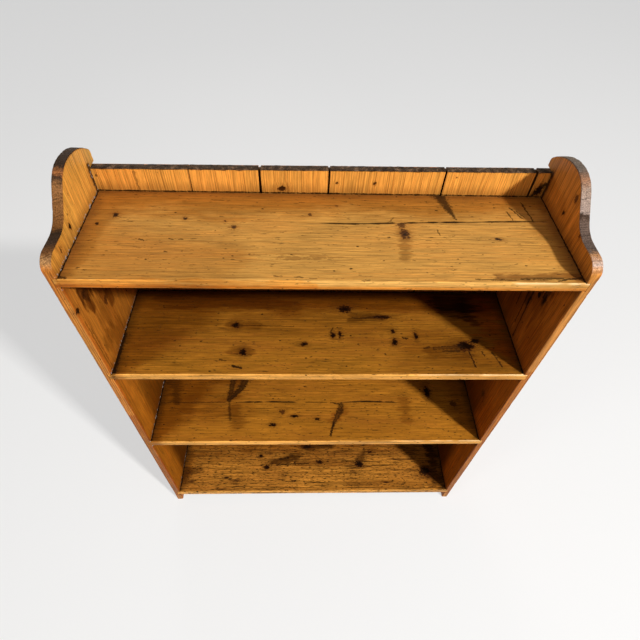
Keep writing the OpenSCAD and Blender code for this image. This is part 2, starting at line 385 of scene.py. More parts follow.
def make_side(name, seed):
    """A side board: scrolled top, a housing for each shelf, a rebate for the planks"""
    rebate_top = float(plank_top(math.copysign(INNER, BOARDS[name].ways[2][1])))
    housings = [(top - SHELF_THICK, top) for top in SHELF_TOPS.values()]
    u, v, w, faces = side_grid(housings, rebate_top)
    flat_u, flat_v, flat_w = u.copy(), v.copy(), w.copy()
    # Cut into the board from its inner face: the housings and the rebate
    cut = (v > SHELF_DEPTH) & (u > PLANK_FOOT) & (u < rebate_top)
    for low, high in housings:
        cut |= (u > low) & (u < high) & (v < SHELF_DEPTH)
    # Arrises: the front corners are rubbed round, the scroll's edge is softened
    rubbed = 3.0 + 0.9 * smooth_noise(seed, u, w, 70, 30) + patches(seed + 1, u, w, 9, 9, 0.5, 2.5)
    round_v = np.where(v < SIDE_DEPTH / 2, rubbed, 1.0)
    v, w = ease(v, w, (0, SIDE_DEPTH + 20), (0, SIDE_THICK), round_v)
    top_arris = 2.0 + 0.8 * smooth_noise(seed + 2, v, w, 24, 30)
    u, w = ease(u, w, (0, CASE_HEIGHT), (0, SIDE_THICK), np.where(u > CASE_HEIGHT / 2, top_arris, 1.2))
    # The scroll: heights above the top shelf are drawn down to the curve
    curve = np.interp(flat_v, SCROLL[:, 0], SCROLL[:, 1])
    climb = ramp(flat_v, SHELF_DEPTH - REBATE_CLEAR, SHELF_DEPTH - 1)
    start = SCROLL_START + (rebate_top + 1 - SCROLL_START) * climb
    share = (curve - start) / (CASE_HEIGHT - start)
    u = np.where(flat_u > start, start + (u - start) * share, u)
    slope = np.gradient(SCROLL[:, 1], SCROLL[:, 0] + 1e-6 * np.arange(len(SCROLL)))
    facing_up = 1 / np.sqrt(1 + np.interp(flat_v, SCROLL[:, 0], slope) ** 2)
    at_top = ramp(flat_u, CASE_HEIGHT - 3, CASE_HEIGHT - 0.5)
    # Sawn by hand, so the edge wanders and is torn here and there
    sawn = 0.5 + 0.5 * smooth_noise(seed + 3, flat_v, w, 26, 60)
    sawn = sawn + 0.35 * smooth_noise(seed + 4, flat_v, w, 5, 6)
    torn = patches(seed + 5, flat_v, w, 6, 7, 0.45, 2.4)
    u = u - at_top * (sawn * 0.8 + torn) * np.clip(facing_up, 0, 1)
    # Faces: planed waves, a few knocks, sunk a little round each nail
    waves = 0.2 + 0.15 * smooth_noise(seed + 6, u, v, 150, 60) + 0.06 * smooth_noise(seed + 7, u, v, 26, 12)
    knocks = patches(seed + 8, u, v, 9, 8, 0.75, 2.5)
    nails = np.full(len(u), 99.0)
    for height in NAIL_HEIGHTS:
        for depth in NAIL_DEPTHS:
            nails = np.minimum(nails, np.hypot(u - height, v - depth))
    w = w + np.where(flat_w <= NEAR_FACE, waves + knocks, 0)
    w = w - np.where(flat_w >= SIDE_THICK - NEAR_FACE, waves + knocks + 0.5 * fall(nails, 2, 8), 0)
    v = v + fall(flat_v, 0.5, 5) * (0.25 + 0.25 * smooth_noise(seed + 9, u, w, 60, 40))
    w = np.where(cut, np.maximum(w, HOUSING + FIT), w)
    end_grain = np.maximum(at_top * ramp(facing_up, 0.25, 0.75), fall(flat_u, 0, 1.5))
    near_arris = np.minimum(np.minimum(flat_w, SIDE_THICK - flat_w), 3) / 3
    wear = np.maximum(fall(flat_v, 2, 9), at_top * (1 - near_arris))
    return make_board(name, u, v, w, faces, end_grain, wear)


# The tongued and grooved planks
RISE_LEFT, RISE_RIGHT = 50.0, 57.0       # the back's height above the top shelf, at its two ends
SLOPED = 60                              # the length at a plank's top that is drawn to the slope


def plank_top(across):
    """The back was sawn a little out of level"""
    return TOP + RISE_LEFT + (RISE_RIGHT - RISE_LEFT) * (np.asarray(across) + INNER) / (2 * INNER)


def make_plank(name, seed, left, right, has_tongue, has_groove):
    """A back plank: sawn ragged top, shrunk and chipped edges, tongue on the left, groove on the right"""
    tongue = (PLANK_THICK / 2 - TONGUE_THICK / 2, PLANK_THICK / 2 + TONGUE_THICK / 2)
    height = max(plank_top(left), plank_top(right))
    start = left - TONGUE if has_tongue else left
    marks_v = [left - SPLIT, left + SPLIT] if has_tongue else []
    marks_v += [left + d for d in (1, 2.5)] + [right - d for d in (1, 2.5)]
    marks_w = [t + d for t in tongue for d in (-SPLIT, SPLIT)]
    u, v, w, faces = lattice(
        grid_lines(PLANK_FOOT, height, 5, list(np.linspace(height - 14, height - 1, 6)), 0.8, 0.8),
        grid_lines(start, right, 3.2, marks_v, 0.8, 0.8),
        grid_lines(0, PLANK_THICK, 4, marks_w, 1.0, 1.0))
    flat_u, flat_v, flat_w = u.copy(), v.copy(), w.copy()
    body = flat_v >= left
    # The section: arrises a little broken, chipped more in places
    arris = np.where(body, 0.9 + 2.0 * patches(seed, u, w, 13, 9, 0.35, 1.0), 0.3)
    eased_v, eased_w = ease(v, w, (left, right), (0, PLANK_THICK), arris)
    v, w = np.where(body, eased_v, v), np.where(body, eased_w, w)
    w = np.where(body, w, np.clip(w, *tongue))
    at_right = flat_v >= right - 1e-3
    grooved = at_right & (flat_w > tongue[0] - 0.3) & (flat_w < tongue[1] + 0.3) & has_groove
    v = np.where(grooved, right - TONGUE - TONGUE_PLAY, v)
    # Shrunk edges wander
    edge_wander = 0.35 + 0.35 * along_noise(seed + 1, u, 34)
    v = v + np.where(body, edge_wander * fall(flat_v - left, 0, 8), 0)
    v = v - np.where(grooved, 0, edge_wander * fall(right - flat_v, 0, 8))
    # The sawn top follows the back's slope, with saw teeth and torn fibres
    sloped = flat_u - (height - plank_top(flat_v)) * (flat_u - height + SLOPED) / SLOPED
    u = np.where(flat_u > height - SLOPED, sloped, u)
    at_top = ramp(flat_u, height - 1.2, height - 0.3)
    teeth = 0.45 * smooth_noise(seed + 2, flat_v, flat_w, 4.5, 30)
    ragged = 0.7 + teeth + 0.4 * smooth_noise(seed + 3, flat_v, flat_w, 19, 40)
    u = u - at_top * (ragged * 0.8 + patches(seed + 4, flat_v, flat_w, 7, 8, 0.5, 3))
    low_arris = fall(np.minimum(flat_w, PLANK_THICK - flat_w), 0.2, 1.6) * at_top
    u = u - low_arris * (0.8 + 0.5 * smooth_noise(seed + 5, flat_v, flat_w, 6, 9))
    # The faces are cupped and planed
    cup = ((flat_v - left) / (right - left) - 0.5) ** 2 * 1.2
    waves = 0.2 + cup + 0.12 * smooth_noise(seed + 6, u, v, 130, 40)
    w = w + np.where((flat_w <= NEAR_FACE) & body, waves, 0)
    at_back = (flat_w >= PLANK_THICK - NEAR_FACE) & body
    w = w - np.where(at_back, 0.3 + 0.15 * smooth_noise(seed + 7, u, v, 60, 20), 0)
    end_grain = np.maximum(at_top, fall(flat_u - PLANK_FOOT, 0, 1))
    edge = np.minimum(np.abs(flat_v - left), np.abs(right - flat_v))
    return make_board(name, u, v, w, faces, end_grain, 0.5 * fall(edge, 0, 3))


# Materials
MATH, VECTOR = "ShaderNodeMath", "ShaderNodeVectorMath"
SPREAD, MIX, NOISE = "ShaderNodeMapRange", "ShaderNodeMixRGB", "ShaderNodeTexNoise"
SPLIT_UP, JOIN = "ShaderNodeSeparateXYZ", "ShaderNodeCombineXYZ"
GROUP = "ShaderNodeGroup"

# Nodes with the settings they are mostly used with
TIMES = (MATH, dict(operation="MULTIPLY"))
TIMES_PLUS = (MATH, dict(operation="MULTIPLY_ADD"))
PLUS = (MATH, dict(operation="ADD"))
MINUS = (MATH, dict(operation="SUBTRACT"))
LARGER = (MATH, dict(operation="MAXIMUM"))
SMALLER = (MATH, dict(operation="MINIMUM"))
DIVIDE = (MATH, dict(operation="DIVIDE"))
MOVE = (VECTOR, dict(operation="ADD"))
FROM = (VECTOR, dict(operation="SUBTRACT"))
STRETCH = (VECTOR, dict(operation="MULTIPLY"))
STRETCH_MOVE = (VECTOR, dict(operation="MULTIPLY_ADD"))
SCALE = (VECTOR, dict(operation="SCALE"))
TINT = (MIX, dict(blend_type="MULTIPLY"))
SOFT = (SPREAD, dict(interpolation_type="SMOOTHSTEP", clamp=False))
STRAIGHT = (SPREAD, dict(clamp=False))

# Heights in millimetres between which the painted shade in the bays changes: first its tint, then how dark
# it gets deeper in
BAY_SHADE_TOP, BAY_SHADE_LOW = 1063, 420
DEEP_SHADE_TOP, DEEP_SHADE_LOW = 900, 350


def new_material(name):
    """An empty material, with what adds nodes to it"""
    material = bpy.data.materials.new(name)
    material.use_nodes = True
    material.node_tree.nodes.clear()
    return material, partial(add, material.node_tree)


def new_group(name, given, results):
    """An empty group of shader nodes, with its inputs and results declared"""
    tree = bpy.data.node_groups.new(name, "ShaderNodeTree")
    for socket, kind in given:
        tree.interface.new_socket(socket, in_out="INPUT", socket_type="NodeSocket" + kind)
    for socket in results:
        tree.interface.new_socket(socket, in_out="OUTPUT", socket_type="NodeSocketFloat")
    return tree, partial(add, tree), tree.nodes.new("NodeGroupInput").outputs


def knot_group():
    """A knot: its dark heart with rings, its brown surround, and how it pushes the grain aside"""
    tree, put, given = new_group("knot", (
        ("Point", "Vector"), ("Centre", "Vector"), ("Half length", "Float"), ("Half width", "Float"),
        ("Darkness", "Float"), ("Roughness", "Float")), ("Shift", "Heart", "Surround"))
    away = put(FROM, given["Point"], given["Centre"])
    size = put(JOIN, given["Half length"], given["Half width"], 1.0)
    scaled = put(VECTOR, away, size, operation="DIVIDE")
    reach = put(VECTOR, scaled, operation="LENGTH").outputs["Value"]
    ragged = put(TIMES_PLUS, given["Roughness"], 2.2, reach)
    rings = put(MATH, put(TIMES, ragged, 8.5), operation="COSINE")
    heart = put(SOFT, ragged, 0.3, 1.45, 1.0, 0.0)
    heart = put(TIMES, heart, put(TIMES_PLUS, rings, 0.12, 0.88))
    halo = put(SOFT, ragged, 0.8, 3.0, 1.0, 0.0)
    side = put(MATH, put(SPLIT_UP, scaled).outputs["Y"], operation="TANH")
    fade = put(SOFT, reach, 0.4, 4.0, 1.0, 0.0)
    push = put(TIMES, side, given["Half width"])
    shift = put(TIMES, push, fade)
    heart = put(TIMES, heart, given["Darkness"])
    halo = put(TIMES, halo, given["Darkness"])
    put("NodeGroupOutput", shift, heart, halo)
    return tree


def streak_group():
    """A dark streak, scratch or crack from one place to another, tapering between two widths"""
    tree, put, given = new_group("streak", (
        ("Point", "Vector"), ("Start", "Vector"), ("End", "Vector"),
        ("Start width", "Float"), ("End width", "Float"), ("Darkness", "Float"),
        ("Roughness", "Float"), ("Hollow", "Float")), ("Mask",))
    run = put(FROM, given["End"], given["Start"])
    away = put(FROM, given["Point"], given["Start"])
    part = put(VECTOR, away, run, operation="DOT_PRODUCT").outputs["Value"]
    whole = put(VECTOR, run, run, operation="DOT_PRODUCT").outputs["Value"]
    share = put(DIVIDE, part, whole)
    share = put(SMALLER, put(LARGER, share, 0.0), 1.0)
    foot = put(SCALE, run, named={"Scale": share})
    gap = put(VECTOR, away, foot, operation="DISTANCE").outputs["Value"]
    width = put(STRAIGHT, share, 0.0, 1.0, given["Start width"], given["End width"])
    ratio = put(DIVIDE, gap, width)
    ratio = put(TIMES_PLUS, given["Roughness"], 1.0, ratio)
    mask = put(SOFT, ratio, 0.2, 0.65, 1.0, 0.0)
    inside = put(SOFT, ratio, 0.08, 0.34, given["Hollow"], 0.0)
    mask = put(TIMES, mask, put(MINUS, 1.0, inside))
    put("NodeGroupOutput", put(TIMES, mask, given["Darkness"]))
    return tree


KNOT = knot_group()
STREAK = streak_group()


def nearest(put, measure, places):
    """Distance, in millimetres, from a measure to the nearest of some places"""
    best = None
    for place in places:
        gap = put(MATH, put(MINUS, measure, float(place)), operation="ABSOLUTE")
        best = gap if best is None else put(SMALLER, best, gap)
    return best


def deeper(put, *masks):
    """The strongest of several masks at each place"""
    masks = [mask for mask in masks if mask is not None]
    best = masks[0]
    for mask in masks[1:]:
        best = put(LARGER, best, mask)
    return best


def draw_knots(put, knots, drawn, jitter, across):
    """The measure across, pushed aside by the knots, with the knots' hearts and brown surrounds"""
    hearts = surrounds = None
    for k_along, k_across, half_length, half_width, darkness in knots:
        knot = put(GROUP, drawn, (k_along, k_across, 0), half_length, half_width, darkness,
                   jitter, node_tree=KNOT).outputs
        across = put(MINUS, across, knot["Shift"])
        hearts = deeper(put, hearts, knot["Heart"])
        surrounds = deeper(put, surrounds, knot["Surround"])
    return across, hearts, surrounds


def draw_streaks(put, streaks, drawn, rough):
    """Where the strongest of some streaks lies"""
    mask = None
    for begin, finish, start_width, end_width, darkness, *hollow in streaks:
        streak = put(GROUP, drawn, (*begin, 0), (*finish, 0), start_width, end_width, darkness,
                     rough, *hollow, node_tree=STREAK)
        mask = deeper(put, mask, streak)
    return mask


def paint(put, colour, *layers):
    """Colours laid over one another, each where its own mask is"""
    for mask, code in layers:
        colour = put(MIX, mask, colour, from_hex(code))
    return colour


def grow_rings(put, noise, look, across, through):
    """Latewood lines: growth rings, cut through at a distance from the pith"""
    pith_across, pith_through = look["pith"]
    wander = put(TIMES_PLUS, noise((520, 110, 110), 2.0, 0.45), look["wander"],
                 -0.5 * look["wander"] - pith_across)
    ripple = put(TIMES_PLUS, noise((90, 17, 17), 2.0, 0.5, 5.0), look["ripple"], wander)
    drift = put(TIMES_PLUS, noise((520, 5000, 5000), 1.0, 0.4, 23.0), look["drift"],
                -0.5 * look["drift"] - pith_through)
    from_pith = put(JOIN, put(PLUS, across, ripple), put(PLUS, through, drift))
    radius = put(VECTOR, from_pith, operation="LENGTH").outputs["Value"]
    years = put(TIMES, radius, 1.0 / look["ring"])
    slow_years = put(NOISE, named={"W": years, "Scale": 0.31, "Detail": 1.0}, noise_dimensions="1D")
    years = put(TIMES_PLUS, slow_years, 1.4, years)
    part = put(MATH, years, operation="FRACT")
    darkening = put(SOFT, part, 0.2, 0.8)
    ending = put(SOFT, part, 0.88, 1.0, 1.0, 0.0)
    year = put("ShaderNodeTexWhiteNoise", named={"W": put(MATH, years, operation="FLOOR")},
               noise_dimensions="1D").outputs["Value"]
    strong = put(STRAIGHT, year, 0.0, 1.0, 0.1 * look["contrast"], look["contrast"])
    return put(TIMES, put(TIMES, darkening, ending), strong)


def paint_bay_shade(put, look, colour, along, across, cloud, on_face):
    """Painted shade within the bays: below the top shelf the wood is tinted darker and redder, changing
    with height, and darker still deeper in and lower down
    """
    height, soften, shade_tint_high, shade_tint_low, deep = look["inside"]
    inside = put(TIMES, put(SOFT, along, height, height - 2), on_face)
    near = put(MIX, put(SOFT, along, BAY_SHADE_TOP, BAY_SHADE_LOW), from_hex(shade_tint_high), from_hex(shade_tint_low))
    colour = put(TINT, inside, colour, near)
    deep_shade = put(SOFT, put(TIMES_PLUS, cloud, 60.0, across), *soften)
    deep_shade = put(TIMES, deep_shade, put(SOFT, along, DEEP_SHADE_TOP, DEEP_SHADE_LOW, 0.2, 1.0))
    return put(TINT, put(TIMES, deep_shade, inside), colour, from_hex(deep))


def colour_end_grain(put, look, across, end_patch, end_fine, late):
    """End grain drinks dirt and goes dark and grey; the sawn rings show as stripes"""
    if look["end_zones"]:
        stops = look["end_zones"]
        span = stops[-1][0]
        patch = put(TIMES_PLUS, end_patch, 26.0 / span, -13.0 / span)
        shade = put(TIMES_PLUS, across, 1.0 / span, patch)
    else:
        span, shade = 1.0, end_patch
        stops = [(0.34 + 0.17 * i, code) for i, code in enumerate(look["end"])]
    colour = put("ShaderNodeValToRGB", shade)
    colours = colour.color_ramp.elements
    for end, (where, code) in ((0, stops[0]), (1, stops[-1])):
        colours[end].position, colours[end].color = where / span, from_hex(code)
    for where, code in stops[1:-1]:
        colours.new(where / span).color = from_hex(code)
    lift = put(STRAIGHT, end_fine, 0.3, 0.7, 0.3, 1.75)
    lift = put(TIMES, lift, put(STRAIGHT, late, 0.0, 1.0, 1.3, 0.25))
    return put(SCALE, colour, named={"Scale": put(LARGER, lift, 0.12)})


def antique_pine(board, look):
    """Old pine, hand planed and waxed many times.

    The eye reads dark narrow latewood lines on honey-coloured earlywood, a fine fibre streak,
    knots that push the grain aside, dirt in the joints and a soft sheen on rubbed arrises; on the shelves'
    nosings that pale rubbed colour is partly a painted highlight.
    """
    material, put = new_material("antique waxed pine, " + board.name.replace("_", " "))

    # Millimetres along, across and through the board
    place = put(SPLIT_UP, put("ShaderNodeTexCoord").outputs["Object"])
    along, across, through = [
        put(TIMES_PLUS, place.outputs[axis], direction / MM, -direction * start / MM)
        for axis, direction, start in board.ways]
    point = put(JOIN, along, across, through)
    own = put(MOVE, point, tuple(look["seed"] * step for step in (977.0, 331.0, 173.0)))
    surface = put(SPLIT_UP, put("ShaderNodeAttribute", attribute_name="surface").outputs["Vector"])
    end_grain, wear, chips = surface.outputs

    def noise(sizes, detail=2.0, rough=0.5, offset=0.0):
        """Noise whose patches have the given sizes along, across and through, in millimetres"""
        scaled = put(STRETCH_MOVE, own, tuple(1.0 / size for size in sizes), (offset,) * 3)
        return put(NOISE, named={"Vector": scaled, "Scale": 1.0, "Detail": detail, "Roughness": rough})

    # Knots, streaks and scratches are drawn a little uneven
    uneven = noise((9, 6, 6), 3.0, 0.6, 11.0)
    jitter = put(MINUS, noise((5.5, 3.4, 3.4), 2.0, 0.65, 13.0), 0.5)
    bend = put(STRETCH_MOVE, uneven.outputs["Color"], (9.0, 7.0, 0.0), (-4.5, -3.5, 0.0))
    drawn = put(MOVE, put(STRETCH, point, (1.0, 1.0, 0.0)), bend)
    shifted, hearts, surrounds = draw_knots(put, look["knots"], drawn, jitter, across)
    marks = draw_streaks(put, look["streaks"], drawn, jitter)
    cloud = put(TIMES_PLUS, noise((130, 42, 42), 5.0, 0.65, 17.0), 0.9, -0.45)
    shades = draw_streaks(put, look["shades"], drawn, cloud)
    late = grow_rings(put, noise, look, shifted, through)

    fibre = noise((46, 2.3, 2.3), 4.0, 0.7, 3.0)     # real fibres are finer, too fine to show
    strands = noise((110, 3.4, 3.4), 3.0, 0.6, 9.0)
    tone = noise((260, 60, 60), 3.0, 0.55, 7.0)
    smears = noise((80, 13, 13), 4.0, 0.68, 19.0)
    dashes = noise((13, 2.6, 2.6), 2.0, 0.5, 29.0)

    # Colour, laid up as the finish was: wood, rubbed arrises, patina, fibre. On the shelves' nosings the
    # pale rubbed colour is also a painted highlight, where the rounded edge catches the light
    rubbed = put(SOFT, tone, 0.25, 0.6, look["rubbed_least"], 1.0)
    rubbed = put(TIMES, put(TIMES, rubbed, look["rubbed"]), wear)
    untouched = put(MINUS, 1.0, rubbed)
    early = put(MIX, rubbed, from_hex(look["early"]), from_hex(look["worn"]))
    lines = put(MIX, put(TIMES, rubbed, 0.7), from_hex(look["late"]), from_hex(look["worn"]))
    colour = put(MIX, late, early, lines)
    redder = put(SOFT, put(PLUS, tone, strands), 0.86, 1.25, 0.0, look["blotch"])
    colour = paint(put, colour, (put(TIMES, redder, untouched), look["patina"]))
    lift = put(STRAIGHT, strands, 0.32, 0.68, 1.0 - look["strands"], 1.0 + look["strands"])
    lift = put(TIMES, lift, put(STRAIGHT, fibre, 0.28, 0.72, 0.66, 1.34))
    for patch, least, most in ((smears, 1.0 + look["bands"], 1.0 - look["bands"]),
                               (tone, 1.0 - look["cloudy"], 1.0 + look["cloudy"])):
        lift = put(TIMES, lift, put(STRAIGHT, patch, 0.32, 0.68, least, most))
    colour = put(SCALE, colour, named={"Scale": put(LARGER, lift, 0.25)})
    if shades:
        # The shades darken the board; at the shelves' backs and ends and in the left side board's diagonal
        # shadow this is painted shade
        colour = put(TINT, shades, colour, from_hex(look["shade"]))
    blotches = put(TIMES_PLUS, smears, 2.4, -1.2)
    on_face = put(SOFT, through, *look["stain_face"])
    if marks and look["inside"]:
        marks = put(TIMES, marks, on_face)
    for *stain, code in look["stains"]:
        mask = put(TIMES, draw_streaks(put, [stain], drawn, blotches), on_face)
        colour = put(TINT, mask, colour, from_hex(code))
    if look["lip"]:
        # Painted shade on the lower part of the nosing, where the rounded front turns down away from the
        # light
        lip = put(SOFT, through, 15.0, 4.0)
        lip = put(TIMES, lip, put(SOFT, across, 5.0, 2.5))
        colour = put(TINT, lip, colour, from_hex(look["lip"]))
    # Painted shade inside the bays
    if look["inside"]:
        colour = paint_bay_shade(put, look, colour, along, across, cloud, on_face)
    if look["outside"]:
        # Painted shade colour: outer and back faces, which the light reaches only weakly, are tinted warmer
        # and a little darker
        thickness, code = look["outside"]
        outside = put(SOFT, through, thickness - 3, thickness - 1)
        colour = put(TINT, outside, colour, from_hex(code))
    if hearts:
        colour = paint(put, colour, (put(TIMES, surrounds, 0.42), look["around"]))
        colour = paint(put, colour, (put(SOFT, hearts, 0.1, 0.36, 0.0, 0.85), "#43200A"))
        colour = paint(put, colour, (put(SOFT, hearts, 0.42, 0.72), "#0E0401"))

    # Dirt: patches, dashes along the grain, worm and dent pits, seams at the joints
    least, most = look["dirt"]
    grime = put(SOFT, smears, least, least + 0.16, 0.0, most)
    grime = put(TIMES, grime, untouched)
    least, most = look["dashes"]
    marked = put(SOFT, dashes, least, least + 0.06, 0.0, most)
    pit_cells = put(STRETCH, own, (1 / 15.0, 1 / 9.0, 1 / 9.0))
    pit = put("ShaderNodeTexVoronoi", named={"Vector": pit_cells, "Scale": 1.0})
    pit_kind = put(SPLIT_UP, pit.outputs["Color"]).outputs["X"]
    pit_here = put(MATH, pit_kind, look["pits"], operation="LESS_THAN")
    pit_reach = put(TIMES_PLUS, jitter, 0.45, pit.outputs["Distance"])
    pit_mask = put(TIMES, put(SOFT, pit_reach, 0.09, 0.24, 0.85, 0.0), pit_here)
    seam_gap = nearest(put, along, look["joints_along"])
    if look["joints_across"]:
        beside = nearest(put, across, look["joints_across"])
        above = put(LARGER, put(MINUS, along, look["joint_top"]), 0.0)
        seam_gap = put(SMALLER, seam_gap, put(PLUS, beside, above))
    on_face = put(SOFT, through, *look["seam_face"])
    if look["seam_from"]:
        on_face = put(TIMES, on_face, put(SOFT, across, *look["seam_from"]))
    ragged = 2.0 * look["seam"]
    creep = put(TIMES_PLUS, uneven, -ragged, put(PLUS, seam_gap, 0.5 * ragged))
    creep = put(TIMES_PLUS, cloud, -0.8 * ragged, creep)
    seam = put(SOFT, creep, 0.6, look["seam"], 0.94, 0.0)
    seam = put(TIMES, seam, on_face)
    # Darker towards each joint, fading out over about 30 millimetres
    halo_gap = put(TIMES_PLUS, cloud, 30.0, seam_gap)
    halo = put(TIMES, put(SOFT, halo_gap, 0.0, 30.0, look["corner_dirt"], 0.0), on_face)
    crack = put(SOFT, chips, -0.08, -0.55, 0.0, 0.96)
    dents = deeper(put, marked, pit_mask, seam, crack)
    if look["gaps"]:
        # Between two planks the joint is too deep for light and dust cloths
        gap = put(SOFT, nearest(put, across, look["gaps"]), 9.0, 7.0, 0.0, 0.93)
        for near, far in ((0.8, 3.0), (16.0, 15.0)):
            gap = put(TIMES, gap, put(SOFT, through, near, far))
        dents = deeper(put, dents, gap)
    dark = deeper(put, marks, dents)
    colour = paint(put, colour, (halo, look["corner"]), (grime, "#3A1A08"), (dark, "#120602"))
    colour = paint(put, colour, (put(SOFT, chips, 0.08, 0.8, 0.0, 0.8), "#F0CB92"))
    if look["edge_lines"]:
        # Growth rings come out as thin lines down the board's front edge
        line_gap = put(TIMES_PLUS, jitter, 0.9, nearest(put, through, look["edge_lines"]))
        ring_line = put(SOFT, line_gap, 0.3, 1.3, 0.55, 0.0)
        ring_line = put(TIMES, ring_line, put(SOFT, across, 2.5, 0.8))
        colour = paint(put, colour, (ring_line, "#5A2E10"))
    if look["dust"]:
        # Pale wax and dust caught in beads along the joint
        dust_line = put(SOFT, put(TIMES_PLUS, jitter, 6.0, seam_gap), 6.6, 4.4)
        dust_part = put(SOFT, uneven, 0.53, 0.64, 0.0, look["dust"])
        dust = put(TIMES, put(TIMES, dust_line, dust_part), on_face)
        colour = paint(put, colour, (dust, "#B4A8A0"))
    if look["nails"]:
        # Rust has stained the wood round each nail
        n_along, n_across, n_through = look["nails"]
        pair = put(JOIN, nearest(put, along, n_along), nearest(put, across, n_across))
        gap = put(VECTOR, pair, operation="LENGTH").outputs["Value"]
        rust = put(SOFT, gap, 3.0, 13.0, 0.8, 0.0)
        near_face = put(SOFT, nearest(put, through, (n_through,)), 1.0, 3.0, 1.0, 0.0)
        colour = paint(put, colour, (put(TIMES, rust, near_face), "#2A1A12"))

    end_patch = noise((11, 13, 13), 3.0, 0.65, 41.0)
    end_fine = noise((2.6, 1.9, 1.9), 3.0, 0.7, 47.0)
    end_colour = colour_end_grain(put, look, across, end_patch, end_fine, late)
    colour = put(MIX, end_grain, colour, end_colour)

    # Latewood stands proud of the worn earlywood; heights are millimetres
    relief = put(TIMES_PLUS, strands, 0.35, put(TIMES, late, 0.25))
    for texture, height in ((fibre, 0.2), (dents, -0.8)):
        relief = put(TIMES_PLUS, texture, height, relief)
    relief = put(TIMES_PLUS, put(TIMES, end_fine, end_grain), 2.2, relief)
    bump = put("ShaderNodeBump", named={"Height": relief, "Strength": 0.9, "Distance": MM})

    sheen = put(STRAIGHT, fibre, 0.3, 0.7, 0.4, 0.56)
    for dull, by in ((dark, 0.35), (grime, 0.15), (end_grain, 0.4)):
        sheen = put(TIMES_PLUS, dull, by, sheen)
    sheen = put(SMALLER, sheen, 1.0)
    put("ShaderNodeOutputMaterial", put("ShaderNodeBsdfPrincipled", named={
        "Base Color": colour, "Roughness": sheen, "Normal": bump, "IOR": 1.5,
        "Specular IOR Level": 0.2, "Specular Tint": from_hex("#E6B887")}))
    return material


# The look of each board
# Places are (along, across) in millimetres. A knot is its place, half length, half width and darkness.
# A streak or a shade runs from one place to another, with its width at each end, its darkness and how
# hollow it is. A shade darkens the board all over it: at the backs and ends of the shelves and in the
# diagonal shadow of the left side board it is painted shade. A stain has its colour there instead. An
# end zone is a distance from the board's front and the colour of the end grain there. Other lengths are
# millimetres too, and the rest are shares.
PINE = dict(
    early="#C99548", late="#7A4614", patina="#A05F22", worn="#E2A24E", corner="#5E3212", around="#7A4516",
    shade="#CBB694", end=("#241B15", "#3E3024", "#6E5540"), end_zones=(), edge_lines=(), drift=30,
    ripple=2.2, strands=0.26, cloudy=0.14, bands=0.1, rubbed_least=0.6, dust=0.0, joint_top=2000,
    stain_face=(3.0, 1.0), shades=(), stains=(), nails=None, inside=None, outside=None, gaps=None, lip=None)
SHELF_HEIGHTS = list(SHELF_TOPS.values()) + [top - SHELF_THICK for top in SHELF_TOPS.values()]

SHELF_LOOK = dict(
    PINE, ring=4.0, wander=24, contrast=0.6, blotch=0.4, dirt=(0.66, 0.4), dashes=(0.64, 0.75), pits=0.1,
    corner_dirt=0.6, rubbed=1.0, joints_along=(-INNER, INNER), joints_across=(SHELF_DEPTH,),
    seam_face=(SHELF_THICK - 6, SHELF_THICK - 3), seam_from=(3, 6), stain_face=(2, 6))
BROWN_LOOK = dict(
    # The worn colour on the nosings is pale rubbed wood and also a painted highlight
    SHELF_LOOK, early="#A66C1E", late="#54300D", patina="#643610", worn="#F4AE54", corner="#1C0D03",
    around="#3A1D07", strands=0.34, cloudy=0.2, blotch=0.6, bands=0.16, shade="#B5A080", dirt=(0.62, 0.6),
    seam=4.2)
LOOKS = {}
LOOKS["top_shelf"] = dict(
    # The worn colour on the nosing is pale rubbed wood and also a painted highlight
    SHELF_LOOK, seed=1, pith=(430, -40), early="#C69044", worn="#F2B660", rubbed_least=0.8, contrast=0.5,
    seam=1.8, dashes=(0.66, 0.7), pits=0.06, lip="#E4BE88",
    knots=[
        (148, 153, 9, 9, 0.6), (151, 127, 9, 14, 0.74), (-399, 172, 6, 7, 0.85), (-426, 147, 4, 3.5, 0.9),
        (-266, 165, 4, 4, 0.8), (-171, 141, 5, 7, 0.66), (-190, 158, 2.5, 3, 0.5),
        (109, 182, 30, 10, 0.12), (328, 115, 7, 3, 1.0), (-28, 182, 4, 4, 0.5), (26, 209, 4, 3, 0.5),
        (-330, 120, 26, 9, 0.05), (-60, 60, 40, 12, 0.04)],
    streaks=[
        ((236, 252), (257, 172), 34, 5, 0.85), ((366, 197), (371, 172), 4, 2.5, 0.8),
        ((374, 212), (392, 176), 4, 3, 0.85), ((403, 229), (411, 167), 4, 3, 0.85),
        ((386, 200), (396, 182), 3.5, 2.5, 0.7), ((215, 140), (217, 124), 4, 3, 0.7),
        ((-286, 106), (-279, 105), 4, 4, 0.8), ((-268, 105), (-262, 105), 3.5, 3, 0.7),
        ((-222, 223), (-200, 222), 4, 4, 0.5), ((-90, 14), (-76, 13), 3.5, 3, 0.6),
        ((-54, 12), (-40, 11), 3.5, 3, 0.6), ((-30, 9), (-18, 9), 3, 3, 0.5),
        ((60, 3), (74, 4), 3.5, 3, 0.6), ((-451, 6), (-441, 5), 10, 6, 0.8),
        ((-340, 104), (-330, 102), 4, 3, 0.8), ((120, 158), (136, 174), 3, 2, 0.6),
        ((260, 10), (330, 8), 3, 4, 0.7), ((340, 11), (415, 13), 4, 4, 0.8),
        ((405, 7), (452, 16), 3, 5, 0.85)],
    stains=[
        ((300, 16), (452, 18), 16, 22, 0.7, "#7E6244"), ((150, 132), (142, 60), 25, 20, 0.6, "#9A8A68"),
        ((-451, -2), (-20, -2), 14, 10, 0.7, "#F4D4A0")],
    shades=[
        ((-451, 240), (451, 245), 170, 140, 0.95), ((-449, 0), (-440, 249), 90, 120, 0.8),
        ((-430, 40), (-200, 50), 320, 130, 0.5), ((449, 20), (440, 249), 60, 120, 0.5)])
